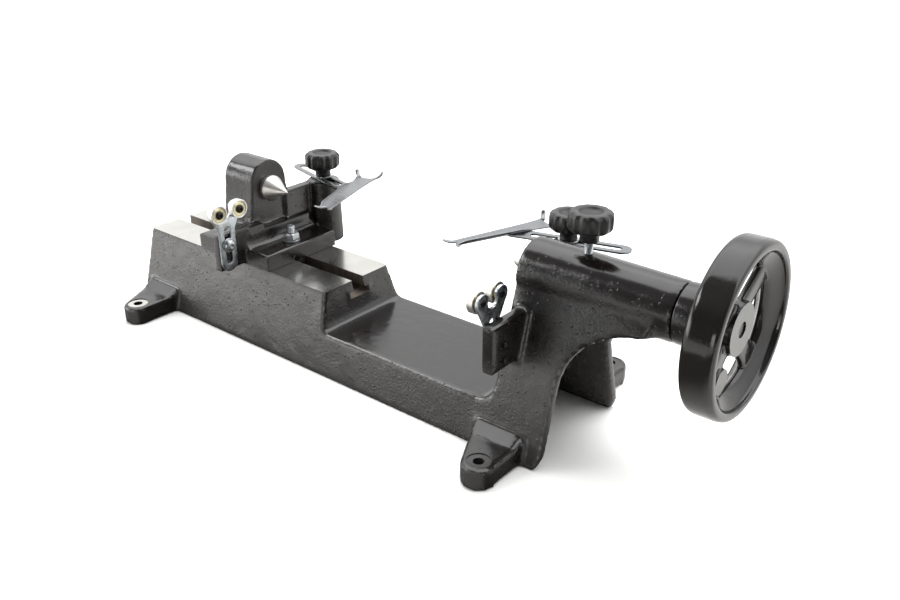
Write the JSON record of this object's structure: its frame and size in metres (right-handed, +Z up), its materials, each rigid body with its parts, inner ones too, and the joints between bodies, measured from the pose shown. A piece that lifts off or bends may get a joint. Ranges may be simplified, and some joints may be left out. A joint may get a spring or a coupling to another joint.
{
  "type": "bench lathe stand",
  "caption": "Small cast-iron bench lathe: slotted bed, sliding headstock with dead centre, tailstock with handwheel and quill, roller rests and swivelling rest arms.",
  "frame": {"origin": "on the bench, under the middle of the lathe's overall length and width", "axes": "+X along the spindle axis from headstock to handwheel, +Y to the back where the rest arms stand, +Z up; the centres lie at Y = 0, Z = 0.1697"},
  "size_m": [0.783, 0.2748, 0.2497],
  "materials": {
    "black_enamel": "thick gloss black enamel over rough cast iron, machined faces left bare",
    "bright_steel": "turned and ground, bare",
    "zinc_plate": "bluish zinc plate on pressed and turned steel",
    "black_plastic": "satin moulded black plastic",
    "black_oxide": "oil-blackened steel",
    "brass": "machined"
  },
  "bodies": {
    "frame": {"bed_casting": "black_enamel", "thrust_collar": "black_enamel", "thrust_washer": "brass", "lock_pad": "brass", "quill_key": "black_oxide", "right_lower_screw": "black_oxide", "right_upper_screw": "black_oxide"},
    "headstock": {"headstock_casting": "black_enamel", "headstock_centre": "bright_steel", "clamp_bolt": "zinc_plate", "clamp_plate": "black_oxide", "clamp_washer": "zinc_plate", "left_plate_bolt": "zinc_plate", "left_plate_washer": "zinc_plate"},
    "clamp_nut": {"clamp_nut": "zinc_plate"},
    "left_rest": {"left_roller_plate": "zinc_plate", "left_front_roller_hub": "zinc_plate", "left_front_axle_screw": "black_oxide", "left_back_roller_hub": "zinc_plate", "left_back_axle_screw": "black_oxide"},
    "left_front_roller": {"left_front_roller": "bright_steel"},
    "left_back_roller": {"left_back_roller": "bright_steel"},
    "right_rest": {"right_roller_plate": "zinc_plate", "right_front_roller_hub": "zinc_plate", "right_front_axle_screw": "black_oxide", "right_back_roller_hub": "zinc_plate", "right_back_axle_screw": "black_oxide"},
    "right_front_roller": {"right_front_roller": "bright_steel"},
    "right_back_roller": {"right_back_roller": "bright_steel"},
    "left_arm_clamp": {"left_arm_washer": "zinc_plate"},
    "left_arm": {"left_arm": "zinc_plate"},
    "left_arm_knob": {"left_arm_knob": "black_plastic", "left_arm_stud": "zinc_plate"},
    "right_arm_clamp": {"right_arm_washer": "zinc_plate"},
    "right_arm": {"right_arm": "zinc_plate"},
    "right_arm_knob": {"right_arm_knob": "black_plastic", "right_arm_stud": "zinc_plate"},
    "quill_lock": {"lock_knob": "black_plastic", "lock_stud": "zinc_plate"},
    "quill": {"quill": "bright_steel", "quill_centre": "bright_steel", "quill_nut": "brass"},
    "handwheel": {"handwheel": "black_enamel", "lead_screw": "bright_steel", "wheel_set_screw": "black_oxide"}
  },
  "joints": [
    {"name": "headstock_slide", "type": "slide", "parent": "frame", "child": "headstock", "axis": [1, 0, 0], "range_m": [-0.1, 0.085]},
    {"name": "clamp_nut_turn", "type": "hinge", "parent": "headstock", "child": "clamp_nut", "pos_m": [-0.178, 0, 0.1163], "axis": [0, 0, 1], "range_deg": [0, 180]},
    {"name": "left_rest_slide", "type": "slide", "parent": "headstock", "child": "left_rest", "axis": [0, 0, 1], "range_m": [-0.018, 0.018]},
    {"name": "left_front_roller_spin", "type": "hinge", "parent": "left_rest", "child": "left_front_roller", "pos_m": [-0.19, -0.09355, 0.166], "axis": [1, 0, 0], "continuous": true},
    {"name": "left_back_roller_spin", "type": "hinge", "parent": "left_rest", "child": "left_back_roller", "pos_m": [-0.19, -0.06505, 0.166], "axis": [1, 0, 0], "continuous": true},
    {"name": "right_rest_slide", "type": "slide", "parent": "frame", "child": "right_rest", "axis": [0, 0, 1], "range_m": [-0.015, 0.002]},
    {"name": "right_front_roller_spin", "type": "hinge", "parent": "right_rest", "child": "right_front_roller", "pos_m": [0.1697, -0.08825, 0.1645], "axis": [1, 0, 0], "continuous": true},
    {"name": "right_back_roller_spin", "type": "hinge", "parent": "right_rest", "child": "right_back_roller", "pos_m": [0.1697, -0.05975, 0.1645], "axis": [1, 0, 0], "continuous": true},
    {"name": "left_arm_swivel", "type": "hinge", "parent": "headstock", "child": "left_arm_clamp", "pos_m": [-0.2015, 0.08, 0.164], "axis": [0, 0, 1], "range_deg": [-8, 35]},
    {"name": "left_arm_slide", "type": "slide", "parent": "left_arm_clamp", "child": "left_arm", "axis": [0.9659, -0.2588, 0], "range_m": [-0.025, 0.035]},
    {"name": "left_arm_knob_turn", "type": "hinge", "parent": "headstock", "child": "left_arm_knob", "pos_m": [-0.2015, 0.08, 0.18], "axis": [0, 0, 1], "range_deg": [0, 360]},
    {"name": "right_arm_swivel", "type": "hinge", "parent": "frame", "child": "right_arm_clamp", "pos_m": [0.1595, 0.08, 0.169], "axis": [0, 0, 1], "range_deg": [-35, 8]},
    {"name": "right_arm_slide", "type": "slide", "parent": "right_arm_clamp", "child": "right_arm", "axis": [-0.9659, -0.2588, 0], "range_m": [-0.025, 0.035]},
    {"name": "right_arm_knob_turn", "type": "hinge", "parent": "frame", "child": "right_arm_knob", "pos_m": [0.1595, 0.08, 0.185], "axis": [0, 0, 1], "range_deg": [0, 360]},
    {"name": "quill_lock_turn", "type": "hinge", "parent": "frame", "child": "quill_lock", "pos_m": [0.23, 0, 0.21], "axis": [0, 0, 1], "range_deg": [0, 360]},
    {"name": "handwheel_turn", "type": "hinge", "parent": "frame", "child": "handwheel", "pos_m": [0.3745, 0, 0.1697], "axis": [-1, 0, 0], "range_deg": [0, 4320]},
    {"name": "quill_slide", "type": "slide", "parent": "frame", "child": "quill", "axis": [-1, 0, 0], "range_m": [0, 0.0481]}
  ],
  "couplings": [
    {"joint": "quill_slide", "follows": "handwheel_turn", "m_per_rad": 0.00063662}
  ]
}
